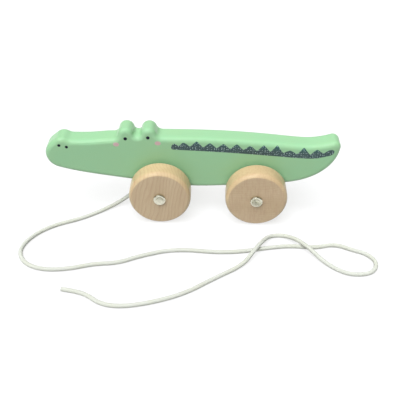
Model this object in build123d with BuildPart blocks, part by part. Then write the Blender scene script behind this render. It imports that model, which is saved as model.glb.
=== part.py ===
from build123d import *
import math
import os

# Pull along toy: a flat wooden crocodile on four wooden wheels, with a pull cord.
# Millimetres. +X runs from the snout to the tail, +Z is up, the floor is z = 0, and the origin
# is on the floor below the middle of the toy. The toy is the same on its left and right side.

os.makedirs("parts", exist_ok=True)

# ---------------------------------------------------------------- driving dimensions
board_thickness = 20.0       # the body is cut from one board
edge_round = 4.5             # rounding all round both faces of the board

wheel_radius = 28.5
wheel_width = 19.0
wheel_inner_round = 3.4
wheel_outer_round = 5.0      # it meets the wheel's face at an edge, not smoothly
wheel_outer_sweep = 65.0     # degrees
wheelbase = 88.8
front_axle_x = -28.8
axle_radius = 2.5
running_clearance = 0.08     # radial, in the body's and the wheels' bores

side_gap = 1.5               # between a wheel and the board
washer_thickness = 1.3
washer_radius = 7.0

cap_radius = 5.8
cap_height = 2.6
cap_wall = 0.6
cap_gap = 0.2                # between a cap and its wheel
cap_dome = 0.4               # how far the middle of the cap's face stands out
cap_corner_round = 1.4
axle_end_gap = 0.2           # between the axle's end and the cap's inside
ring_thickness = 0.5
ring_inset = 0.3             # from the cap's rim to the grip ring inside it
ring_slot_width = 0.7
ring_slot_length = 2.4
ring_slot_bite = 0.4         # how far each slot runs into the axle's hole
ring_slot_count = 6

leg_radius = 10.0            # round legs that hold the axle bores
leg_blend = 4.0

axle_end_chamfer = 0.3

cord_diameter = 3.8
cord_hole_x = -47.5
cord_hole_radius = 4.0
cord_hole_top = 47.0
plug_bottom = 34.2
plug_top = 40.0
plug_bore_radius = 2.3
knot_radius = 3.3

# ---------------------------------------------------------------- places worked out from them
half_board = board_thickness / 2
axle_z = wheel_radius
rear_axle_x = front_axle_x + wheelbase
axle_places = {"front": front_axle_x, "rear": rear_axle_x}
sides = {"left": -1, "right": 1}     # the crocodile looks along -X, so its left side is at -Y

wheel_inner_y = half_board + side_gap
wheel_outer_y = wheel_inner_y + wheel_width
cap_inner_y = wheel_outer_y + cap_gap
washer_inner_y = half_board + (side_gap - washer_thickness) / 2
cap_ceiling = cap_height - cap_dome - cap_wall
axle_half_length = cap_inner_y + cap_ceiling - axle_end_gap

cap_bore_radius = cap_radius - cap_wall
cap_shoulder = cap_height - cap_dome - cap_corner_round
cap_corner_end = (cap_radius - cap_corner_round, cap_height - cap_dome)
cap_corner_middle = (
    cap_radius - cap_corner_round * (1 - math.sqrt(0.5)),
    cap_shoulder + cap_corner_round * math.sqrt(0.5),
)
ring_slot_middle = axle_radius + ring_slot_length / 2 - ring_slot_bite
knot_rise = math.sqrt(knot_radius**2 - (cord_diameter / 2) ** 2)

# ---------------------------------------------------------------- the outline's round stretches
snout_centre = Vector(-119.6, 60.7)
snout_radius = 14.8
chin_angle = 252.0
nose_centre = Vector(-117.8, 70.3)
nose_radius = 8.5
nose_dip_radius = 10.0
nose_dip_level = 76.3
eye_radius = 7.0
front_eye = Vector(-59.4, 82.6)
rear_eye = Vector(-38.9, 82.8)
valley_radius = 3.5          # between the eyes
brow_radius = 6.0            # from the snout up to the front eye
brow_level = 78.5
nape_radius = 6.0            # from the rear eye down to the back
nape_level = 81.15
tail_centre = Vector(128.2, 73.3)
tail_radius = 6.2
tail_start_angle = 110.0
tail_end_angle = -5.0

# stretches between them, as (x, z)
snout_middle = (-90.4, 76.9)
back_line = [(12.0, 81.1), (42.0, 80.0), (72.0, 77.8), (96.0, 75.6), (107.0, 75.3), (117.0, 76.6)]
rump_and_belly = [
    (131.3, 60.9), (118.8, 45.6), (101.2, 36.6), (70.0, 31.8), (25.6, 28.5), (-4.0, 27.8),
    (-34.4, 31.1), (-64.4, 35.4), (-91.5, 39.4),
]


# ---------------------------------------------------------------- the cord's route
# From its knot down through the plug, forward under the snout, round in front of the toy, out
# past the tail, and back over itself twice to its bare end. It lies on the floor except at the
# hole and at the two crossings.
on_floor = cord_diameter / 2
over_cord = on_floor + cord_diameter + 0.8
arc_share = 0.45             # how much of the shorter run each corner's arc takes
cord_route = [
    (-47.5, 0, 40), (-47.5, 0, 25.5), (-56, 0, 14), (-70, -3.5, 4),
    (-86, -15.5, on_floor), (-105, -29, on_floor), (-127, -38.5, on_floor),
    (-144, -54, on_floor), (-152, -74, on_floor), (-144.5, -91, on_floor),
    (-127, -99.5, on_floor), (-104, -98, on_floor), (-82, -90.5, on_floor),
    (-62, -89, on_floor), (-42, -78.5, on_floor), (-12, -68.5, on_floor),
    (36, -73.5, on_floor), (86, -60.5, on_floor), (112, -63.5, on_floor),
    (131, -57.5, on_floor), (146.5, -65.5, on_floor), (157.5, -69.5, on_floor),
    (165, -80.5, on_floor), (160.5, -93, on_floor), (148, -97.5, on_floor),
    (134, -95.5, on_floor), (119, -83, on_floor),
    (107, -69.5, over_cord), (97, -57.5, over_cord),
    (86, -46.5, on_floor), (72.5, -48, on_floor),
    (65, -61, over_cord), (57, -74.5, over_cord),
    (47, -88.5, on_floor), (23, -105, on_floor), (-2, -124.5, on_floor),
    (-30, -136, on_floor), (-54, -141, on_floor), (-71, -138, on_floor),
    (-83, -128, on_floor), (-95, -124, on_floor), (-105, -122.5, on_floor),
]


def on_circle(centre, radius, degrees):
    """The point of a circle at an angle from +X towards +Z."""
    angle = math.radians(degrees)
    return centre + Vector(math.cos(angle), math.sin(angle)) * radius


def heading(degrees):
    """The direction of clockwise travel round a circle, at an angle on it."""
    angle = math.radians(degrees)
    return Vector(math.sin(angle), -math.cos(angle))


def blend_centre(bump, bump_radius, level, radius, side):
    """Centre of an arc that rests on a level line and touches a bump, on its -X or +X side."""
    height = level + radius - bump.Y
    return Vector(bump.X + side * math.sqrt((bump_radius + radius) ** 2 - height**2), level + radius)


def between_bumps(first, second, reach):
    """The point above two bumps' centres that is as far as reach from both."""
    middle = (first + second) / 2
    across = (second - first).normalized()
    rise = math.sqrt(reach**2 - ((second - first).length / 2) ** 2)
    return middle + Vector(-across.Y, across.X) * rise


def touch(first, radius, second):
    """The point of the first circle that lies towards the second one's centre."""
    return first + (second - first).normalized() * radius


snout_to_nose = nose_centre - snout_centre
bridge_angle = math.degrees(
    math.atan2(snout_to_nose.Y, snout_to_nose.X)
    + math.acos((snout_radius - nose_radius) / snout_to_nose.length)
)
nose_dip = blend_centre(nose_centre, nose_radius, nose_dip_level, nose_dip_radius, 1)
brow = blend_centre(front_eye, eye_radius, brow_level, brow_radius, -1)
nape = blend_centre(rear_eye, eye_radius, nape_level, nape_radius, 1)
valley = between_bumps(front_eye, rear_eye, eye_radius + valley_radius)
level_east = Vector(1, 0)
unit_pull = (1, 1)           # a spline's end tangents, per millimetre of its length


def side_plane(x, y, side):
    """A plane across an axle, y from the middle of the board, that faces outward on its side."""
    return Plane(origin=(x, side * y, axle_z), x_dir=(1, 0, 0), z_dir=(0, side, 0))


def section_plane(x, y, side):
    """The plane of a half section through an axle: radius along +X, distance outward from y."""
    return Plane(origin=(x, side * y, axle_z), x_dir=(1, 0, 0), z_dir=(0, 0, side))


def wheel_round_point(angle):
    """A point of the wheel's outer edge rounding, as (radius, distance from the inner face)."""
    turn = math.radians(angle)
    full_turn = math.radians(wheel_outer_sweep)
    return (
        wheel_radius - wheel_outer_round * (1 - math.cos(turn)),
        wheel_width - wheel_outer_round * (math.sin(full_turn) - math.sin(turn)),
    )


def save(part, name):
    """Label a finished piece and write it."""
    part.label = name
    export_step(part, f"parts/{name}.step")


# ---------------------------------------------------------------- body
with BuildPart() as body:
    with BuildSketch(Plane.XZ) as outline:
        with BuildLine():
            chin = on_circle(snout_centre, snout_radius, chin_angle)
            snout_end = on_circle(snout_centre, snout_radius, bridge_angle)
            ThreePointArc(chin, on_circle(snout_centre, snout_radius, 180), snout_end)
            nose_start = on_circle(nose_centre, nose_radius, bridge_angle)
            nose_end = touch(nose_centre, nose_radius, nose_dip)
            Line(snout_end, nose_start)
            ThreePointArc(nose_start, on_circle(nose_centre, nose_radius, 95), nose_end)
            dip_end = Vector(nose_dip.X, nose_dip_level)
            dip_middle = touch(nose_dip, nose_dip_radius, (nose_end + dip_end) / 2)
            ThreePointArc(nose_end, dip_middle, dip_end)
            brow_start = Vector(brow.X, brow_level)
            Spline(
                dip_end,
                snout_middle,
                brow_start,
                tangents=(level_east, level_east),
                tangent_scalars=unit_pull,
            )
            brow_end = touch(brow, brow_radius, front_eye)
            brow_middle = touch(brow, brow_radius, (brow_start + brow_end) / 2)
            ThreePointArc(brow_start, brow_middle, brow_end)
            valley_start = touch(valley, valley_radius, front_eye)
            valley_end = touch(valley, valley_radius, rear_eye)
            ThreePointArc(brow_end, on_circle(front_eye, eye_radius, 90), valley_start)
            ThreePointArc(valley_start, on_circle(valley, valley_radius, -90), valley_end)
            nape_start = touch(nape, nape_radius, rear_eye)
            nape_end = Vector(nape.X, nape_level)
            nape_middle = touch(nape, nape_radius, (nape_start + nape_end) / 2)
            ThreePointArc(valley_end, on_circle(rear_eye, eye_radius, 90), nape_start)
            ThreePointArc(nape_start, nape_middle, nape_end)
            tail_start = on_circle(tail_centre, tail_radius, tail_start_angle)
            tail_end = on_circle(tail_centre, tail_radius, tail_end_angle)
            Spline(
                nape_end,
                *back_line,
                tail_start,
                tangents=(level_east, heading(tail_start_angle)),
                tangent_scalars=unit_pull,
            )
            ThreePointArc(tail_start, on_circle(tail_centre, tail_radius, 50), tail_end)
            Spline(
                tail_end,
                *rump_and_belly,
                chin,
                tangents=(heading(tail_end_angle), heading(chin_angle)),
                tangent_scalars=unit_pull,
            )
        make_face()
        with Locations((front_axle_x, axle_z), (rear_axle_x, axle_z)):
            Circle(leg_radius)
    extrude(amount=half_board, both=True)
    leg_corners = body.edges().filter_by(Axis.Y).filter_by_position(Axis.Z, 20, 38)
    fillet(leg_corners, radius=leg_blend)
    fillet(body.faces().filter_by(Axis.Y).edges(), radius=edge_round)
    with BuildSketch(Plane.XZ.offset(-half_board)):
        with Locations((front_axle_x, axle_z), (rear_axle_x, axle_z)):
            Circle(axle_radius + running_clearance)
    extrude(amount=board_thickness, mode=Mode.SUBTRACT)
    with BuildSketch(Plane.XY.offset(cord_hole_top)):
        with Locations((cord_hole_x, 0)):
            Circle(cord_hole_radius)
    extrude(amount=-cord_hole_top, mode=Mode.SUBTRACT)
save(body.part, "body")

# ---------------------------------------------------------------- wheels
for axle_name, axle_x in axle_places.items():
    for side_name, side in sides.items():
        with BuildPart() as wheel:
            with BuildSketch(section_plane(axle_x, wheel_inner_y, side)):
                with BuildLine():
                    Polyline(
                        (wheel_radius - wheel_inner_round, 0),
                        (axle_radius + running_clearance, 0),
                        (axle_radius + running_clearance, wheel_width),
                        wheel_round_point(wheel_outer_sweep),
                    )
                    ThreePointArc(
                        wheel_round_point(wheel_outer_sweep),
                        wheel_round_point(wheel_outer_sweep / 2),
                        wheel_round_point(0),
                    )
                    Line(wheel_round_point(0), (wheel_radius, wheel_inner_round))
                    RadiusArc(
                        (wheel_radius, wheel_inner_round),
                        (wheel_radius - wheel_inner_round, 0),
                        wheel_inner_round,
                    )
                make_face()
            revolve(axis=Axis((axle_x, 0, axle_z), (0, 1, 0)))
        save(wheel.part, f"{axle_name}_{side_name}_wheel")

# ---------------------------------------------------------------- axles and what is fixed on them
for axle_name, axle_x in axle_places.items():
    with BuildPart() as axle:
        with BuildSketch(side_plane(axle_x, 0, 1)):
            Circle(axle_radius)
        extrude(amount=axle_half_length, both=True)
        chamfer(axle.edges(), length=axle_end_chamfer)
    save(axle.part, f"{axle_name}_axle")

    for side_name, side in sides.items():
        # plain washer that keeps the wheel off the board
        with BuildPart() as washer:
            with BuildSketch(side_plane(axle_x, washer_inner_y, side)):
                Circle(washer_radius)
                Circle(axle_radius + running_clearance, mode=Mode.SUBTRACT)
            extrude(amount=washer_thickness)
        save(washer.part, f"{axle_name}_{side_name}_washer")

        # domed cap: half its section, turned round the axle
        with BuildPart() as cap:
            with BuildSketch(section_plane(axle_x, cap_inner_y, side)):
                with BuildLine():
                    Polyline(
                        (0, cap_height),
                        (0, cap_ceiling),
                        (cap_radius - cap_corner_round, cap_ceiling),
                        (cap_bore_radius, cap_shoulder),
                        (cap_bore_radius, 0),
                        (cap_radius, 0),
                        (cap_radius, cap_shoulder),
                    )
                    ThreePointArc((cap_radius, cap_shoulder), cap_corner_middle, cap_corner_end)
                    Spline(
                        cap_corner_end,
                        (0, cap_height),
                        tangents=(-level_east, -level_east),
                        tangent_scalars=(cap_radius, cap_radius),
                    )
                make_face()
            revolve(axis=Axis((axle_x, 0, axle_z), (0, 1, 0)))
        save(cap.part, f"{axle_name}_{side_name}_cap")

        # toothed ring inside the cap, which grips the axle
        with BuildPart() as ring:
            with BuildSketch(side_plane(axle_x, cap_inner_y + ring_inset, side)):
                Circle(cap_bore_radius)
                Circle(axle_radius, mode=Mode.SUBTRACT)
                with PolarLocations(ring_slot_middle, ring_slot_count):
                    Rectangle(ring_slot_length, ring_slot_width, mode=Mode.SUBTRACT)
            extrude(amount=ring_thickness)
        save(ring.part, f"{axle_name}_{side_name}_grip_ring")

# ---------------------------------------------------------------- cord fixing inside the body
with BuildPart() as plug:
    with BuildSketch(Plane.XY.offset(plug_bottom)):
        with Locations((cord_hole_x, 0)):
            Circle(cord_hole_radius)
            Circle(plug_bore_radius, mode=Mode.SUBTRACT)
    extrude(amount=plug_top - plug_bottom)
save(plug.part, "cord_plug")

with BuildPart() as knot:
    with Locations((cord_hole_x, 0, plug_top + knot_rise)):
        Sphere(knot_radius)
    split(bisect_by=Plane.XY.offset(plug_top), keep=Keep.TOP)
save(knot.part, "cord_knot")

# ---------------------------------------------------------------- cord
cord_radii = []
for before, corner, after in zip(cord_route, cord_route[1:], cord_route[2:]):
    run_in = Vector(*corner) - Vector(*before)
    run_out = Vector(*after) - Vector(*corner)
    half_turn = math.radians(run_in.get_angle(run_out)) / 2
    cord_radii.append(arc_share * min(run_in.length, run_out.length) / math.tan(half_turn))

with BuildPart() as cord:
    with BuildLine():
        FilletPolyline(*cord_route, radius=cord_radii)
    with BuildSketch(Plane(origin=cord_route[0], z_dir=(0, 0, -1))):
        Circle(cord_diameter / 2)
    sweep()
save(cord.part, "cord")
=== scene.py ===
import math

import bpy
import numpy as np
from mathutils import Matrix, Vector


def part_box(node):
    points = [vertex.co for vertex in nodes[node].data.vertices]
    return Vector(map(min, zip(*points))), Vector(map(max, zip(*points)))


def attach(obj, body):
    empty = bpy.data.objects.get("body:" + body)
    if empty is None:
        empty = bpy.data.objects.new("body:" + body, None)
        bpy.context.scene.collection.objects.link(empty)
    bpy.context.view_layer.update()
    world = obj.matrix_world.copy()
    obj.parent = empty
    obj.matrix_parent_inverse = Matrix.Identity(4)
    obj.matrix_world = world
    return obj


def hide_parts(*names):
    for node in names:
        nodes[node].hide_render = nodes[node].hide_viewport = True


# A flat wooden crocodile on four beech wheels, with a braided pull cord.
# Metres, in the CAD model's frame: +X from the snout to the tail, +Z up, floor at z = 0.

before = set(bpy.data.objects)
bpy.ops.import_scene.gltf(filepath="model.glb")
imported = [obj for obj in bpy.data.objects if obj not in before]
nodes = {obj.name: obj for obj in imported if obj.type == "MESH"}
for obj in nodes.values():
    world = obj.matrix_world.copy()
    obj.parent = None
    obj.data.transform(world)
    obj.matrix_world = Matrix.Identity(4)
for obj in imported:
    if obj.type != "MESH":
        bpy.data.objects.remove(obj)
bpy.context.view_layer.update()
scene = bpy.context.scene

MM = 0.001
PER_METRE = 1000             # millimetres


def box_middle(name):
    low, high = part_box(name)
    return (low + high) / 2


# ---------------------------------------------------------------- camera
CAMERA_AZIMUTH = math.radians(-1.12)     # from straight ahead at the toy's left side
CAMERA_ELEVATION = math.radians(37.05)
CAMERA_ROLL = math.radians(0.49)
CAMERA_DISTANCE = 649.8 * MM
CAMERA_TARGET = Vector((7.7, 0.5, 5.0)) * MM
CAMERA_LENS = 60.0                       # mm
SENSOR_WIDTH = 36.0                      # mm


def make_camera():
    forward = Vector(
        (
            math.sin(CAMERA_AZIMUTH) * math.cos(CAMERA_ELEVATION),
            math.cos(CAMERA_AZIMUTH) * math.cos(CAMERA_ELEVATION),
            -math.sin(CAMERA_ELEVATION),
        )
    )
    level = forward.cross(Vector((0, 0, 1))).normalized()
    upright = level.cross(forward)
    right = level * math.cos(CAMERA_ROLL) + upright * math.sin(CAMERA_ROLL)
    up = upright * math.cos(CAMERA_ROLL) - level * math.sin(CAMERA_ROLL)
    data = bpy.data.cameras.new("camera")
    data.lens = CAMERA_LENS
    data.sensor_width = SENSOR_WIDTH
    data.clip_start = 0.01
    data.clip_end = 50.0
    camera = bpy.data.objects.new("camera", data)
    facing = Matrix((right, up, -forward)).transposed().to_4x4()
    camera.matrix_world = Matrix.Translation(CAMERA_TARGET - forward * CAMERA_DISTANCE) @ facing
    scene.collection.objects.link(camera)
    scene.camera = camera


make_camera()

# ---------------------------------------------------------------- cord
# Millimetres. The route's control points run from the knot inside the body down through the plug,
# forward under the snout, round in front of the toy, out past the tail, and back over the cord
# itself twice.
CORD_DIAMETER = 3.8
CORD_HOLE_X = -47.5
KNOT_BASE = 40.0
CROSSING_GAP = 0.8
ON_FLOOR = CORD_DIAMETER / 2
OVER_CORD = ON_FLOOR + CORD_DIAMETER + CROSSING_GAP
CORD_ROUTE = [
    (CORD_HOLE_X, 0, KNOT_BASE), (CORD_HOLE_X, 0, 25.5), (-56, 0, 14), (-70, -3.5, 4),
    (-86, -15.5, ON_FLOOR), (-105, -29, ON_FLOOR), (-127, -38.5, ON_FLOOR),
    (-144, -54, ON_FLOOR), (-152, -74, ON_FLOOR), (-144.5, -91, ON_FLOOR),
    (-127, -99.5, ON_FLOOR), (-104, -98, ON_FLOOR), (-82, -90.5, ON_FLOOR),
    (-62, -89, ON_FLOOR), (-42, -78.5, ON_FLOOR), (-12, -68.5, ON_FLOOR),
    (36, -73.5, ON_FLOOR), (86, -60.5, ON_FLOOR), (112, -63.5, ON_FLOOR),
    (131, -57.5, ON_FLOOR), (146.5, -65.5, ON_FLOOR), (157.5, -69.5, ON_FLOOR),
    (165, -80.5, ON_FLOOR), (160.5, -93, ON_FLOOR), (148, -97.5, ON_FLOOR),
    (134, -95.5, ON_FLOOR), (119, -83, ON_FLOOR),
    (107, -69.5, OVER_CORD), (97, -57.5, OVER_CORD),
    (86, -46.5, ON_FLOOR), (72.5, -48, ON_FLOOR),
    (65, -61, OVER_CORD), (57, -74.5, OVER_CORD),
    (47, -88.5, ON_FLOOR), (23, -105, ON_FLOOR), (-2, -124.5, ON_FLOOR),
    (-30, -136, ON_FLOOR), (-54, -141, ON_FLOOR), (-71, -138, ON_FLOOR),
    (-83, -128, ON_FLOOR), (-95, -124, ON_FLOOR), (-105, -122.5, ON_FLOOR),
]
LINE_RESOLUTION = 48         # points on each span of the spline
BRAID_STRANDS = 8            # each way round
BRAID_PITCH = 13.0           # length of one turn of a strand
BRAID_DEPTH = 0.30           # from a strand's crown to the groove beside it
BRAID_LIFT = 0.28            # how much a strand rises and falls as it crosses others, as a share
RING_STEP = 0.30             # between the tube's rings
RING_CORNERS = 28
CUT_ROUGHNESS = 0.28         # how far the strands' cut ends stand out or in
CUT_SEED = 7


def route_line(points):
    """Points along a smooth NURBS spline whose control points are the route."""
    data = bpy.data.curves.new("cord_line", "CURVE")
    data.dimensions = "3D"
    data.resolution_u = LINE_RESOLUTION
    spline = data.splines.new("NURBS")
    spline.points.add(len(points) - 1)
    for control, (x, y, z) in zip(spline.points, points):
        control.co = (x * MM, y * MM, z * MM, 1)
    spline.order_u = 3
    spline.use_endpoint_u = True
    curve = bpy.data.objects.new("cord_line", data)
    scene.collection.objects.link(curve)
    bpy.context.view_layer.update()
    evaluated = curve.evaluated_get(bpy.context.evaluated_depsgraph_get())
    mesh = bpy.data.meshes.new_from_object(evaluated)
    line = np.array([vertex.co for vertex in mesh.vertices])
    bpy.data.meshes.remove(mesh)
    bpy.data.objects.remove(curve)
    bpy.data.curves.remove(data)
    return line


def evenly(line, step):
    """The same line with points a step apart, and how far along it each of them is."""
    lengths = np.concatenate(([0], np.cumsum(np.linalg.norm(np.diff(line, axis=0), axis=1))))
    count = int(round(lengths[-1] / step)) + 1
    at = np.linspace(0, lengths[-1], count)
    return np.column_stack([np.interp(at, lengths, line[:, i]) for i in range(3)]), at


def side_vectors(line):
    """Two vectors across the line at each point, which don't twist round it, and its direction."""
    tangents = np.gradient(line, axis=0)
    tangents /= np.linalg.norm(tangents, axis=1)[:, None]
    across = np.zeros_like(line)
    first = np.cross(tangents[0], (0, 1, 0))
    across[0] = first / np.linalg.norm(first)
    for i in range(1, len(line)):
        carried = across[i - 1] - tangents[i] * np.dot(across[i - 1], tangents[i])
        across[i] = carried / np.linalg.norm(carried)
    return across, np.cross(tangents, across), tangents


def braid_height(along, turn):
    """How high the braid's surface stands, 0 to 1, at lengths along it and turns round it."""
    one = along / BRAID_PITCH * BRAID_STRANDS + turn * BRAID_STRANDS
    other = along / BRAID_PITCH * BRAID_STRANDS - turn * BRAID_STRANDS
    crown_one = np.sin(np.pi * (one % 1.0))
    crown_other = np.sin(np.pi * (other % 1.0))
    over = np.cos(np.pi * (np.floor(one) + np.floor(other)))
    lift = BRAID_LIFT * over
    level = 1 - BRAID_LIFT
    return np.maximum(crown_one * (level + lift), crown_other * (level - lift))


def tube_faces(count):
    """The faces of a tube of rings, closed by two centre points that come after the rings."""
    faces = []
    for i in range(count - 1):
        a = i * RING_CORNERS
        b = a + RING_CORNERS
        for j in range(RING_CORNERS):
            k = (j + 1) % RING_CORNERS
            faces.append((a + j, a + k, b + k, b + j))
    first_centre = count * RING_CORNERS
    last_ring = first_centre - RING_CORNERS
    for j in range(RING_CORNERS):
        k = (j + 1) % RING_CORNERS
        faces.append((first_centre, k, j))
        faces.append((first_centre + 1, last_ring + j, last_ring + k))
    return faces


def make_cord():
    line, at = evenly(route_line(CORD_ROUTE), RING_STEP * MM)
    across, upward, tangents = side_vectors(line)
    turns = np.arange(RING_CORNERS) / RING_CORNERS
    along = (at / MM)[:, None]
    height = braid_height(along, turns[None, :])
    radius = (CORD_DIAMETER / 2 - BRAID_DEPTH * (1 - height)) * MM
    angle = 2 * math.pi * turns[None, :, None]
    rings = line[:, None, :] + radius[:, :, None] * (
        np.cos(angle) * across[:, None, :] + np.sin(angle) * upward[:, None, :]
    )
    ragged = np.random.default_rng(CUT_SEED).uniform(-CUT_ROUGHNESS, CUT_ROUGHNESS, RING_CORNERS)
    rings[-1] += ragged[:, None] * tangents[-1] * MM
    vertices = np.vstack([rings.reshape(-1, 3), line[0], line[-1]])
    mesh = bpy.data.meshes.new("pull_cord")
    mesh.from_pydata(vertices.tolist(), [], tube_faces(len(line)))
    # The groove attribute is each point's depth below the strands' crowns, which the material turns
    # into painted shade.
    groove = mesh.attributes.new("groove", "FLOAT", "POINT")
    shade = np.concatenate([1 - height.reshape(-1), [0, 0]]).astype(np.float32)
    groove.data.foreach_set("value", shade)
    mesh.polygons.foreach_set("use_smooth", [True] * len(mesh.polygons))
    mesh.update()
    piece = bpy.data.objects.new("pull_cord", mesh)
    scene.collection.objects.link(piece)
    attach(piece, "root")
    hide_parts("cord")
    return piece


pull_cord = make_cord()

# ---------------------------------------------------------------- material helpers
# The smallest roughness that the paint and the wood may have. Below about 0.274 the render's
# denoiser takes a surface for a mirror, and leaves marks on it.
SMOOTHEST = 0.285


class Graph:
    """A material's node tree, with short calls for the nodes that the materials share."""

    def __init__(self, name):
        self.material = bpy.data.materials.new(name)
        self.material.use_nodes = True
        self.tree = self.material.node_tree
        self.shader = self.tree.nodes["Principled BSDF"]
        self.place = self.add("ShaderNodeTexCoord").outputs["Object"]

    def add(self, kind, **settings):
        node = self.tree.nodes.new(kind)
        for key, value in settings.items():
            setattr(node, key, value)
        return node

    def put(self, value, socket):
        """Set a socket to a number or colour, or link an output to it."""
        if isinstance(value, bpy.types.NodeSocket):
            self.tree.links.new(value, socket)
        else:
            socket.default_value = value

    def math(self, operation, first, second=0.0, third=0.0):
        node = self.add("ShaderNodeMath", operation=operation)
        for socket, value in zip(node.inputs, (first, second, third)):
            self.put(value, socket)
        return node.outputs[0]

    def length(self, first, second):
        """The length of the diagonal of a rectangle with these two sides."""
        squares = [self.math("MULTIPLY", side, side) for side in (first, second)]
        return self.math("SQRT", self.math("ADD", *squares))

    def parts(self, vector):
        node = self.add("ShaderNodeSeparateXYZ")
        self.put(vector, node.inputs[0])
        return node.outputs[0], node.outputs[1], node.outputs[2]

    def join(self, x, y, z):
        node = self.add("ShaderNodeCombineXYZ")
        for socket, value in zip(node.inputs, (x, y, z)):
            self.put(value, socket)
        return node.outputs[0]

    def moved(self, vector, shift=(0, 0, 0), turn=(0, 0, 0), scale=(1, 1, 1)):
        node = self.add("ShaderNodeMapping")
        self.put(vector, node.inputs["Vector"])
        self.put(shift, node.inputs["Location"])
        self.put(turn, node.inputs["Rotation"])
        self.put(scale, node.inputs["Scale"])
        return node.outputs[0]

    def in_mm(self):
        return self.moved(self.place, scale=(PER_METRE, PER_METRE, PER_METRE))

    def noise(self, vector, waves, detail=3.0, roughness=0.5):
        """Noise from 0 to 1. waves is how many there are to a unit, or to a unit of x, y and z."""
        if isinstance(waves, tuple):
            vector = self.moved(vector, scale=waves)
            waves = 1.0
        node = self.add("ShaderNodeTexNoise")
        self.put(vector, node.inputs["Vector"])
        self.put(waves, node.inputs["Scale"])
        self.put(detail, node.inputs["Detail"])
        self.put(roughness, node.inputs["Roughness"])
        return node.outputs["Fac"]

    def spread(self, value, low, high, to_low=0.0, to_high=1.0, smooth=False):
        """The value's stretch from low to high, drawn out to reach from to_low to to_high."""
        node = self.add("ShaderNodeMapRange", clamp=True)
        if smooth:
            node.interpolation_type = "SMOOTHSTEP"
        self.put(value, node.inputs["Value"])
        self.put(low, node.inputs["From Min"])
        self.put(high, node.inputs["From Max"])
        self.put(to_low, node.inputs["To Min"])
        self.put(to_high, node.inputs["To Max"])
        return node.outputs["Result"]

    def mix(self, share, first, second, blend="MIX"):
        node = self.add("ShaderNodeMix", data_type="RGBA", blend_type=blend)
        self.put(share, node.inputs["Factor"])
        self.put(first, node.inputs["A"])
        self.put(second, node.inputs["B"])
        return node.outputs["Result"]

    def tint(self, color, other, value, low, high, share=1.0):
        """The colour, which turns to the other one, up to a share, as value goes from low to high."""
        return self.mix(self.spread(value, low, high, 0.0, share), color, other)

    def bump(self, height, distance):
        node = self.add("ShaderNodeBump")
        self.put(height, node.inputs["Height"])
        self.put(distance, node.inputs["Distance"])
        self.put(1.0, node.inputs["Strength"])
        return node.outputs["Normal"]

    def give(self, socket, value):
        self.put(value, self.shader.inputs[socket])


def paint(name, material):
    """Give a CAD node its material, in place of the plain one it came with."""
    materials = nodes[name].data.materials
    materials.clear()
    materials.append(material)


# ---------------------------------------------------------------- painted body
# The prints are on both flat faces. They are drawn in millimetres, along x and z.
PAINT = (0.272, 0.508, 0.273, 1)
PAINT_SPECK = (0.240, 0.480, 0.240, 1)
PAINT_THIN = (0.283, 0.503, 0.265, 1)
PAINT_THICK = (0.263, 0.508, 0.281, 1)
INK = (0.004, 0.005, 0.014, 1)
BLUSH = (0.570, 0.335, 0.365, 1)
BLUSH_SHARE = 0.86
BAND = (0.022, 0.055, 0.056, 1)
BAND_WORN = (0.060, 0.100, 0.090, 1)
BAND_TIP = (0.010, 0.075, 0.070, 1)
SPECKLE = (0.600, 0.780, 0.750, 1)
PRINT_START = 6.0            # from the middle of the board towards either face
PRINT_FULL = 6.6
PRINT_SOFTNESS = 0.14        # half the width of a print's soft edge
EYES = [(-59.6, 79.9), (-39.3, 81.3)]
EYE_RADIUS = 1.65
NOSTRILS = [(-120.3, 71.4), (-113.6, 69.9)]
NOSTRIL_RADIUS = 1.45
CHEEKS = [(-68.3, 73.7), (-30.6, 75.7)]
CHEEK_HALF_WIDTH = 2.7
CHEEK_HALF_HEIGHT = 2.1
CHEEK_SOFTNESS = 0.30
BAND_START = -18.6
BAND_END = 128.6
BAND_END_ROUND = 3.6
BAND_LOWER_EDGE = [
    (-20, 69.5), (8, 68.4), (30, 67.4), (53, 66.0), (76, 64.4),
    (98, 62.8), (108, 62.5), (118, 64.0), (130, 69.5),
]
LOWER_EDGE_RANGE = (60, 72)
TOOTH_TOPS = [               # above the band's lower edge
    (-20, 6.0), (-16, 6.3), (-8, 7.8), (4.4, 9.7), (16, 8.9), (29, 8.8), (41, 9.4), (52, 8.7),
    (65, 10.3), (78, 11.0), (90, 7.3), (101, 10.8), (114, 9.0), (125, 6.2), (130, 4.0),
]
TOOTH_TOPS_RANGE = (4, 12)
TOOTH_PITCH = 12.1
TOOTH_PEAK = 4.4             # x of one of the peaks
WAVE_START = TOOTH_PEAK - 20.5 * TOOTH_PITCH     # a valley far before the band
VALLEY_HEIGHT = 3.9          # above the band's lower edge
CLOSE_TEETH_END = -8.4       # x before which the teeth are closer together
CLOSE_TEETH = 0.55           # how much closer
TIP_LEVEL = 0.92             # the wave is blunted near this height, as a share of its own
TIP_BLUNTING = 0.26
VALLEY_LEVEL = 0.05
VALLEY_BLUNTING = 0.20
BLUNTING_MAKE_UP = 1.1       # the teeth are this much taller, to reach their height all the same
SPECKLES_PER_MM = 0.46
SPECKLE_SCATTER = 0.65
SPECKLE_SMALLEST = 0.06      # radii, as a share of the room each speckle has
SPECKLE_VARIATION = 0.10
SPECKLE_SOFTNESS = 0.04
BAND_ROUGHER = 0.08
GLOSS = 0.5                  # specular level of the paint, and of the dots printed on it
DOT_GLOSS = 0.15


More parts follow.
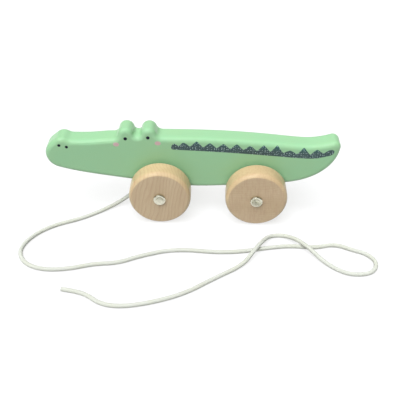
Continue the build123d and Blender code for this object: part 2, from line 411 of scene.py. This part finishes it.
def curve_along(graph, x, points, low, high):
    """A smooth curve through (x, value) points, as a node output. The values are in low to high."""
    first, last = points[0][0], points[-1][0]
    node = graph.add("ShaderNodeFloatCurve")
    track = node.mapping.curves[0]
    spots = [((a - first) / (last - first), (b - low) / (high - low)) for a, b in points]
    track.points[0].location = spots[0]
    track.points[1].location = spots[-1]
    for spot in spots[1:-1]:
        track.points.new(*spot)
    node.mapping.update()
    graph.put(graph.spread(x, first, last), node.inputs["Value"])
    return graph.spread(node.outputs[0], 0, 1, low, high)


def printed_spot(graph, x, z, centre, half_width, half_height, softness=PRINT_SOFTNESS):
    across = graph.math("DIVIDE", graph.math("SUBTRACT", x, centre[0]), half_width)
    upright = graph.math("DIVIDE", graph.math("SUBTRACT", z, centre[1]), half_height)
    edge = softness / half_height
    return graph.spread(graph.length(across, upright), 1 - edge, 1 + edge, 1.0, 0.0, smooth=True)


def tooth_wave(graph, x):
    """A blunted saw-tooth along x, from 0 in the valleys to 1 at the peaks."""
    before = graph.math("MINIMUM", graph.math("SUBTRACT", x, CLOSE_TEETH_END), 0.0)
    spaced = graph.math("MULTIPLY_ADD", before, CLOSE_TEETH, x)
    phase = graph.math("DIVIDE", graph.math("SUBTRACT", spaced, WAVE_START), TOOTH_PITCH)
    off_middle = graph.math("MULTIPLY_ADD", graph.math("FRACT", phase), 2.0, -1.0)
    wave = graph.math("SUBTRACT", 1.0, graph.math("ABSOLUTE", off_middle))
    wave = graph.math("SMOOTH_MIN", wave, TIP_LEVEL, TIP_BLUNTING)
    return graph.math("SMOOTH_MAX", wave, VALLEY_LEVEL, VALLEY_BLUNTING)


def printed_band(graph, x, z):
    """The saw-toothed band along the back, and how near a point is to a tooth's tip."""
    lower = curve_along(graph, x, BAND_LOWER_EDGE, *LOWER_EDGE_RANGE)
    tops = curve_along(graph, x, TOOTH_TOPS, *TOOTH_TOPS_RANGE)
    tall = graph.math("MULTIPLY", graph.math("SUBTRACT", tops, VALLEY_HEIGHT), BLUNTING_MAKE_UP)
    tooth = graph.math("MULTIPLY", tooth_wave(graph, x), tall)
    above = graph.math("SUBTRACT", z, lower)
    top = graph.math("ADD", tooth, VALLEY_HEIGHT)
    from_left = graph.math("SUBTRACT", x, BAND_START)
    from_right = graph.math("SUBTRACT", BAND_END, x)
    room = graph.math("MINIMUM", graph.math("SUBTRACT", top, above), above)
    ends = graph.math("MINIMUM", from_left, from_right)
    inside = graph.math("SMOOTH_MIN", room, ends, BAND_END_ROUND)
    mask = graph.spread(inside, -PRINT_SOFTNESS, PRINT_SOFTNESS, smooth=True)
    tip = graph.spread(graph.math("SUBTRACT", above, VALLEY_HEIGHT), low=1.0, high=4.5)
    return mask, tip


def band_ink(graph, x, z, tip):
    """The band's dark ink, bluer towards the teeth's tips, with pale speckles."""
    flat = graph.join(x, z, 0.0)
    cells = graph.add("ShaderNodeTexVoronoi", voronoi_dimensions="2D")
    graph.put(flat, cells.inputs["Vector"])
    graph.put(SPECKLES_PER_MM, cells.inputs["Scale"])
    graph.put(SPECKLE_SCATTER, cells.inputs["Randomness"])
    any_share = graph.parts(cells.outputs["Color"])[0]
    size = graph.math("MULTIPLY_ADD", any_share, SPECKLE_VARIATION, SPECKLE_SMALLEST)
    past_edge = graph.math("SUBTRACT", cells.outputs["Distance"], size)
    dot = graph.spread(past_edge, -SPECKLE_SOFTNESS, SPECKLE_SOFTNESS, 1.0, 0.0)
    ink = graph.mix(tip, BAND, BAND_TIP)
    grain = graph.noise(flat, waves=3.0, detail=2.0, roughness=0.6)
    ink = graph.tint(ink, BAND_WORN, grain, low=0.3, high=0.7, share=0.25)
    return graph.mix(dot, ink, SPECKLE)


def paint_material():
    graph = Graph("mint_paint")
    place = graph.in_mm()
    x, y, z = graph.parts(place)
    on_face = graph.spread(graph.math("ABSOLUTE", y), PRINT_START, PRINT_FULL)

    patches = graph.noise(place, waves=0.035, detail=4.0, roughness=0.55)
    color = graph.tint(PAINT_THIN, PAINT, patches, low=0.35, high=0.65)
    streaks = graph.noise(place, waves=(0.08, 0.5, 0.5), detail=4.0, roughness=0.6)
    color = graph.tint(color, PAINT_THICK, streaks, low=0.40, high=0.75, share=0.45)
    fine = graph.noise(place, waves=2.2, detail=2.0, roughness=0.6)
    color = graph.tint(color, PAINT_SPECK, fine, low=0.3, high=0.7, share=0.10)

    for centre in CHEEKS:
        size = (CHEEK_HALF_WIDTH, CHEEK_HALF_HEIGHT)
        spot = printed_spot(graph, x, z, centre, *size, softness=CHEEK_SOFTNESS)
        share = graph.math("MULTIPLY", graph.math("MULTIPLY", spot, on_face), BLUSH_SHARE)
        color = graph.mix(share, color, BLUSH)

    band, tip = printed_band(graph, x, z)
    band = graph.math("MULTIPLY", band, on_face)
    color = graph.mix(band, color, band_ink(graph, x, z, tip))

    dots = [(spot, EYE_RADIUS) for spot in EYES] + [(spot, NOSTRIL_RADIUS) for spot in NOSTRILS]
    matt = 0.0
    for centre, radius in dots:
        spot = printed_spot(graph, x, z, centre, radius, radius)
        spot = graph.math("MULTIPLY", spot, on_face)
        color = graph.mix(spot, color, INK)
        matt = graph.math("ADD", matt, spot)

    graph.give("Base Color", color)
    wear = graph.noise(place, waves=0.09, detail=3.0, roughness=0.6)
    rough = graph.spread(wear, low=0.3, high=0.7, to_low=SMOOTHEST, to_high=0.34)
    graph.give("Roughness", graph.math("MULTIPLY_ADD", band, BAND_ROUGHER, rough))
    graph.give("Specular IOR Level", graph.spread(matt, 0, 1, GLOSS, DOT_GLOSS))
    orange_peel = graph.noise(place, waves=0.55, detail=3.0, roughness=0.5)
    sanding = graph.noise(place, waves=(0.12, 1.6, 1.6), detail=3.0, roughness=0.6)
    height = graph.math("MULTIPLY_ADD", sanding, 0.35, orange_peel)
    height = graph.math("MULTIPLY_ADD", band, 0.5, height)
    graph.give("Normal", graph.bump(height, distance=0.08 * MM))
    return graph.material


paint("body", paint_material())

# ---------------------------------------------------------------- beech wheels
BEECH_PALE = (0.544, 0.424, 0.256, 1)
BEECH_MID = (0.488, 0.368, 0.216, 1)
BEECH_LINE = (0.400, 0.235, 0.150, 1)
BEECH_FLECK = (0.400, 0.220, 0.110, 1)
# Painted light: the rim is made lighter than the flat face, and yellower.
BEECH_RIM_PAINTED_LIGHT = (1.07, 1.07, 0.98, 1)
BEECH_GLOSS = 0.6
WHEEL_FACE_RADIUS = 25.6 * MM
RIM_PAINTED_LIGHT_START = WHEEL_FACE_RADIUS - 0.3 * MM
RIM_PAINTED_LIGHT_FULL = WHEEL_FACE_RADIUS + 0.6 * MM
RING_WAVER = 13.0            # mm, how far the annual rings wander in all
LATE_WOOD = 5.0              # the higher, the narrower the dark line at a ring's end
LATE_WOOD_PEAK = 0.93        # where in a ring it is darkest
FLECKS_PER_MM = (0.42, 1.5, 1.5)
LATHE_MARKS_PER_MM = 1.4

# turn is the grain's direction in the wheel's plane, in degrees. pith is where the middle of the tree
# was, across the board and through its thickness, and ring_gap is from one annual ring to the
# next, in mm. The shares are how strongly rings, rays and flecks show. shift, in mm, gives each
# wheel its own piece of the noise.
WHEELS = {
    "front_left_wheel": dict(
        turn=80, pith=(-60, 14), ring_gap=3.1, shift=(0, 0, 0),
        ring_share=1.0, ray_share=0.0, fleck_share=0.30,
    ),
    "rear_left_wheel": dict(
        turn=4, pith=(90, 70), ring_gap=1.7, shift=(31, 5, 9),
        ring_share=0.50, ray_share=0.32, fleck_share=0.80,
    ),
    "front_right_wheel": dict(
        turn=70, pith=(75, 30), ring_gap=3.8, shift=(57, 11, -7),
        ring_share=0.65, ray_share=0.10, fleck_share=0.40,
    ),
    "rear_right_wheel": dict(
        turn=141, pith=(-95, 22), ring_gap=3.4, shift=(83, -9, 16),
        ring_share=0.60, ray_share=0.20, fleck_share=0.35,
    ),
}


def late_wood(graph, board, pith, ring_gap):
    """The dark lines where annual rings end, which waver and fade in places."""
    along, through, across = graph.parts(board)
    sway = graph.noise(board, waves=(0.022, 0.05, 0.05), detail=3.0, roughness=0.45)
    wander = graph.math("MULTIPLY_ADD", sway, RING_WAVER, -RING_WAVER / 2)
    from_pith = graph.math("ADD", graph.math("SUBTRACT", across, pith[0]), wander)
    depth = graph.math("SUBTRACT", through, pith[1])
    radius = graph.length(from_pith, depth)
    ring = graph.math("FRACT", graph.math("DIVIDE", radius, ring_gap))
    late = graph.math("POWER", ring, LATE_WOOD)
    late = graph.math("MULTIPLY", late, graph.spread(ring, LATE_WOOD_PEAK, 1.0, 1.0, 0.0))
    broken = graph.noise(board, waves=(0.05, 0.4, 0.4), detail=3.0, roughness=0.6)
    return graph.math("MULTIPLY", late, graph.spread(broken, 0.30, 0.62, 0.35, 1.0))


def wood_flecks(graph, board):
    """Short dark dashes along the grain, in about half of the cells."""
    cells = graph.add("ShaderNodeTexVoronoi", feature="F1")
    graph.put(graph.moved(board, scale=FLECKS_PER_MM), cells.inputs["Vector"])
    graph.put(1.0, cells.inputs["Scale"])
    fleck = graph.spread(cells.outputs["Distance"], 0.10, 0.26, 1.0, 0.0)
    chosen = graph.spread(graph.parts(cells.outputs["Color"])[0], 0.45, 0.60)
    return graph.math("MULTIPLY", fleck, chosen)


def beech_material(
    name, centre, turn, pith, ring_gap, shift, ring_share, ray_share, fleck_share
):
    """Beech turned from a board whose grain runs in the wheel's plane."""
    graph = Graph(name)
    at_wheel = graph.moved(graph.place, shift=[-value for value in centre])
    scale = (PER_METRE, PER_METRE, PER_METRE)
    board = graph.moved(at_wheel, turn=(0, math.radians(turn), 0), scale=scale)
    board = graph.moved(board, shift=shift)

    fibre = graph.noise(board, waves=(0.10, 2.4, 2.4), detail=4.0, roughness=0.65)
    tone = graph.noise(board, waves=(0.02, 0.09, 0.09), detail=3.0, roughness=0.5)
    color = graph.tint(BEECH_PALE, BEECH_MID, tone, low=0.32, high=0.68)
    color = graph.tint(color, BEECH_LINE, fibre, low=0.40, high=0.75, share=0.36)
    late = late_wood(graph, board, pith, ring_gap)
    color = graph.mix(graph.math("MULTIPLY", late, ring_share), color, BEECH_LINE)
    rays = graph.noise(board, waves=(0.75, 0.4, 0.10), detail=2.0, roughness=0.5)
    color = graph.tint(color, BEECH_LINE, rays, low=0.46, high=0.66, share=ray_share)
    fleck = wood_flecks(graph, board)
    color = graph.mix(graph.math("MULTIPLY", fleck, fleck_share), color, BEECH_FLECK)

    x, y, z = graph.parts(at_wheel)
    from_axle = graph.length(x, z)
    # The rim is made lighter and yellower than the flat face. The lightening is painted light, as the
    # rim takes more light than the face.
    rim_painted_light = graph.spread(from_axle, RIM_PAINTED_LIGHT_START, RIM_PAINTED_LIGHT_FULL)
    color = graph.mix(rim_painted_light, color, BEECH_RIM_PAINTED_LIGHT, blend="MULTIPLY")

    graph.give("Base Color", color)
    polish = graph.noise(board, waves=0.10, detail=3.0, roughness=0.6)
    graph.give("Roughness", graph.spread(polish, 0.3, 0.7, SMOOTHEST, 0.37))
    graph.give("Specular IOR Level", BEECH_GLOSS)
    marks_per_metre = LATHE_MARKS_PER_MM * PER_METRE
    lathe_place = graph.join(
        graph.math("MULTIPLY", from_axle, marks_per_metre),
        graph.math("MULTIPLY", y, marks_per_metre),
        0.0,
    )
    lathe = graph.noise(lathe_place, waves=1.0, detail=2.0, roughness=0.5)
    height = graph.math("ADD", graph.math("MULTIPLY", fibre, 0.6), graph.math("MULTIPLY", lathe, 0.35))
    height = graph.math("SUBTRACT", height, graph.math("MULTIPLY", fleck, 0.3))
    graph.give("Normal", graph.bump(height, distance=0.07 * MM))
    return graph.material


for wheel, wood in WHEELS.items():
    paint(wheel, beech_material("beech_" + wheel, box_middle(wheel), **wood))

# ---------------------------------------------------------------- metal, nylon and the plug
CAP_STEEL = (0.76, 0.74, 0.605, 1)
AXLE_STEEL = (0.56, 0.56, 0.55, 1)
METAL_CLOUDING = 0.82        # how dark the darker patches are, as a share
SCRATCH_TURN = (0.4, 0.3, 0.9)
NYLON_PALE = (0.80, 0.79, 0.74, 1)
NYLON_DARK = (0.70, 0.69, 0.64, 1)
PLUG_PALE = (0.60, 0.42, 0.24, 1)
PLUG_DARK = (0.48, 0.31, 0.17, 1)
PLUG_PORE = (0.28, 0.16, 0.08, 1)


def metal_material(name, color, roughness, scratch, dent):
    graph = Graph(name)
    place = graph.in_mm()
    cloud = graph.noise(place, waves=0.5, detail=4.0, roughness=0.6)
    scratched = graph.moved(place, turn=SCRATCH_TURN, scale=(0.4, 5.0, 5.0))
    marks = graph.noise(scratched, waves=1.0, detail=4.0, roughness=0.7)
    dark = tuple(METAL_CLOUDING * part for part in color[:3]) + (1,)
    graph.give("Base Color", graph.tint(color, dark, cloud, low=0.3, high=0.7))
    graph.give("Metallic", 1.0)
    patchy = graph.spread(cloud, 0.3, 0.7, roughness * 0.8, roughness * 1.25)
    graph.give("Roughness", graph.math("ADD", patchy, graph.spread(marks, 0.5, 0.8, 0.0, scratch)))
    graph.give("Normal", graph.bump(graph.math("MULTIPLY_ADD", marks, 0.3, cloud), dent))
    return graph.material


def nylon_material():
    graph = Graph("washer_nylon")
    place = graph.in_mm()
    cloud = graph.noise(place, waves=0.3, detail=4.0, roughness=0.6)
    graph.give("Base Color", graph.mix(cloud, NYLON_PALE, NYLON_DARK))
    smear = graph.noise(place, waves=1.2, detail=3.0, roughness=0.6)
    graph.give("Roughness", graph.spread(smear, 0.3, 0.7, 0.40, 0.55))
    texture = graph.noise(place, waves=2.0, detail=3.0, roughness=0.6)
    graph.give("Normal", graph.bump(texture, distance=0.05 * MM))
    return graph.material


def plug_material():
    """Bare beech with its end grain showing."""
    graph = Graph("plug_beech")
    place = graph.in_mm()
    pores = graph.noise(place, waves=3.0, detail=4.0, roughness=0.7)
    bands = graph.noise(place, waves=(1.4, 0.25, 0.25), detail=3.0, roughness=0.5)
    color = graph.tint(PLUG_PALE, PLUG_DARK, bands, low=0.3, high=0.7)
    color = graph.tint(color, PLUG_PORE, pores, low=0.5, high=0.8, share=0.5)
    graph.give("Base Color", color)
    graph.give("Roughness", graph.spread(pores, 0.3, 0.7, 0.60, 0.75))
    graph.give("Normal", graph.bump(pores, distance=0.1 * MM))
    return graph.material


cap_steel = metal_material("cap_steel", CAP_STEEL, roughness=0.17, scratch=0.03, dent=0.01 * MM)
axle_steel = metal_material("axle_steel", AXLE_STEEL, roughness=0.34, scratch=0.12, dent=0.03 * MM)
washer_nylon = nylon_material()
for axle in ("front", "rear"):
    paint(axle + "_axle", axle_steel)
    for side in ("left", "right"):
        wheel_side = axle + "_" + side
        paint(wheel_side + "_cap", cap_steel)
        paint(wheel_side + "_grip_ring", axle_steel)
        paint(wheel_side + "_washer", washer_nylon)
paint("cord_plug", plug_material())

# ---------------------------------------------------------------- cord's cotton
COTTON = (0.550, 0.565, 0.515, 1)
# Painted shade for the grooves between strands and yarns; the lint flecks use this colour too.
COTTON_LINT_AND_GROOVE_SHADE = (0.400, 0.410, 0.260, 1)
COTTON_SOILED = (0.510, 0.522, 0.430, 1)
COTTON_GLOSS = 0.25


def cotton_graph(name):
    """Soiled cotton with lint on it: the graph so far, its colour and its height."""
    graph = Graph(name)
    place = graph.in_mm()
    soil = graph.noise(place, waves=0.03, detail=3.0, roughness=0.6)
    lint = graph.noise(place, waves=4.0, detail=3.0, roughness=0.7)
    color = graph.tint(COTTON, COTTON_SOILED, soil, low=0.4, high=0.7, share=0.6)
    color = graph.tint(color, COTTON_LINT_AND_GROOVE_SHADE, lint, low=0.4, high=0.8, share=0.25)
    graph.give("Roughness", graph.spread(lint, 0.3, 0.7, 0.80, 0.95))
    graph.give("Specular IOR Level", COTTON_GLOSS)
    graph.give("Sheen Weight", 0.25)
    graph.give("Sheen Roughness", 0.5)
    return graph, color, graph.math("MULTIPLY", lint, 0.5)


def finish_cotton(graph, color, height):
    graph.give("Base Color", color)
    graph.give("Normal", graph.bump(height, distance=0.1 * MM))
    return graph.material


def cord_material():
    """The braid is in the cord's mesh, which also says where its grooves are; the grooves get painted
    shade.
    """
    graph, color, height = cotton_graph("cord_cotton")
    groove = graph.add("ShaderNodeAttribute", attribute_name="groove").outputs["Fac"]
    # Painted shade: the braid's grooves are darkened.
    color = graph.tint(color, COTTON_LINT_AND_GROOVE_SHADE, groove, low=0.25, high=0.95, share=0.85)
    return finish_cotton(graph, color, height)


def knot_material():
    """The knot is a smooth CAD solid, so its yarns are drawn as bands, with painted shade between
    them.
    """
    graph, color, height = cotton_graph("knot_cotton")
    yarn = graph.add("ShaderNodeTexWave", wave_type="BANDS", bands_direction="DIAGONAL")
    graph.put(graph.in_mm(), yarn.inputs["Vector"])
    graph.put(0.45, yarn.inputs["Scale"])
    graph.put(1.5, yarn.inputs["Distortion"])
    crown = yarn.outputs["Fac"]
    # Painted shade between the yarns' crowns.
    color = graph.mix(graph.spread(crown, 0.0, 0.5, 0.7, 0.0), color, COTTON_LINT_AND_GROOVE_SHADE)
    return finish_cotton(graph, color, graph.math("MULTIPLY_ADD", crown, 2.0, height))


pull_cord.data.materials.append(cord_material())
paint("cord_knot", knot_material())

# ---------------------------------------------------------------- floor, light and background
# The toy's faces get their light from a dimmer floor than the one that is seen.
FLOOR_HALF_SIZE = 12.0
FLOOR_DEPTH = 0.1 * MM       # how far the seen floor is under the toy
BOUNCE_DEPTH = 0.2 * MM
FLOOR_COLOR = (0.23, 0.23, 0.23, 1)
FLOOR_GLOW = 0.72
BOUNCE_COLOR = (0.20, 0.20, 0.20, 1)
BOUNCE_GLOW = 0.22
FLOOR_GLOW_COLOR = (1.0, 1.0, 0.99, 1)
SKY = 0.22
SKY_COLOR = (0.97, 1.0, 0.92, 1)
WHITE = (1, 1, 1)
KEY = 1.53
KEY_COLOR = (0.98, 0.99, 1.05)
KEY_SOFTNESS = 64.0          # degrees across, as are the other lights'
KEY_TRAVEL = (0.20, 0.36, -0.91)
STRIP = 0.10
STRIP_SOFTNESS = 18.0
STRIP_TRAVEL = (0.22, 0.64, -0.74)
FILL = 0.28
FILL_SOFTNESS = 50.0
FILL_TRAVEL = (-0.10, -0.80, -0.40)
PANELS = {
    "front_panel": dict(place=(0.0, -2.2, 0.35), size=(3.0, 0.9), glow=0.9),
    "left_panel": dict(place=(-1.2, -1.0, 1.3), size=(1.1, 1.1), glow=1.3),
}


def limit_rays(thing, rays):
    """Hide a floor or light from kinds of rays, given as kind: whether they see it."""
    for ray, seen in rays.items():
        setattr(thing, "visible_" + ray, seen)


def make_floor(name, depth, color, glow, **rays):
    size = FLOOR_HALF_SIZE
    mesh = bpy.data.meshes.new(name)
    corners = [(-size, -size, 0), (size, -size, 0), (size, size, 0), (-size, size, 0)]
    mesh.from_pydata(corners, [], [(0, 1, 2, 3)])
    floor = bpy.data.objects.new(name, mesh)
    scene.collection.objects.link(floor)
    graph = Graph(name)
    graph.give("Base Color", color)
    graph.give("Roughness", 0.9)
    graph.give("Specular IOR Level", 0.0)
    graph.give("Emission Color", FLOOR_GLOW_COLOR)
    graph.give("Emission Strength", glow)
    mesh.materials.append(graph.material)
    floor.location.z = -depth
    limit_rays(floor, rays)


def make_sun(name, travel, strength, softness, color, **rays):
    """A distant soft light. strength is how bright it makes a white card that faces it."""
    data = bpy.data.lights.new(name, "SUN")
    data.energy = strength * math.pi
    data.angle = math.radians(softness)
    data.color = color
    sun = bpy.data.objects.new(name, data)
    sun.rotation_euler = Vector(travel).to_track_quat("-Z", "Y").to_euler()
    limit_rays(sun, rays)
    scene.collection.objects.link(sun)


def make_panel(name, place, size, glow):
    """A soft panel that faces the toy and that only shiny surfaces show."""
    data = bpy.data.lights.new(name, "AREA")
    data.shape = "RECTANGLE"
    data.size, data.size_y = size
    data.energy = glow * math.pi * data.size * data.size_y
    panel = bpy.data.objects.new(name, data)
    panel.location = place
    panel.rotation_euler = (-Vector(place)).to_track_quat("-Z", "Y").to_euler()
    limit_rays(panel, dict(camera=False, diffuse=False))
    scene.collection.objects.link(panel)


def make_light():
    world = bpy.data.worlds.new("studio")
    world.use_nodes = True
    background = world.node_tree.nodes["Background"]
    background.inputs["Color"].default_value = SKY_COLOR
    background.inputs["Strength"].default_value = SKY
    scene.world = world
    make_sun("key", KEY_TRAVEL, KEY, KEY_SOFTNESS, KEY_COLOR, glossy=False)
    make_sun("strip", STRIP_TRAVEL, STRIP, STRIP_SOFTNESS, WHITE, diffuse=False)
    make_sun("fill", FILL_TRAVEL, FILL, FILL_SOFTNESS, WHITE, glossy=False)
    for name, panel in PANELS.items():
        make_panel(name, **panel)


scene.view_settings.view_transform = "Standard"
make_floor("studio_floor", FLOOR_DEPTH, FLOOR_COLOR, FLOOR_GLOW, diffuse=False, shadow=False)
make_floor("bounce_floor", BOUNCE_DEPTH, BOUNCE_COLOR, BOUNCE_GLOW, camera=False, glossy=False)
make_light()
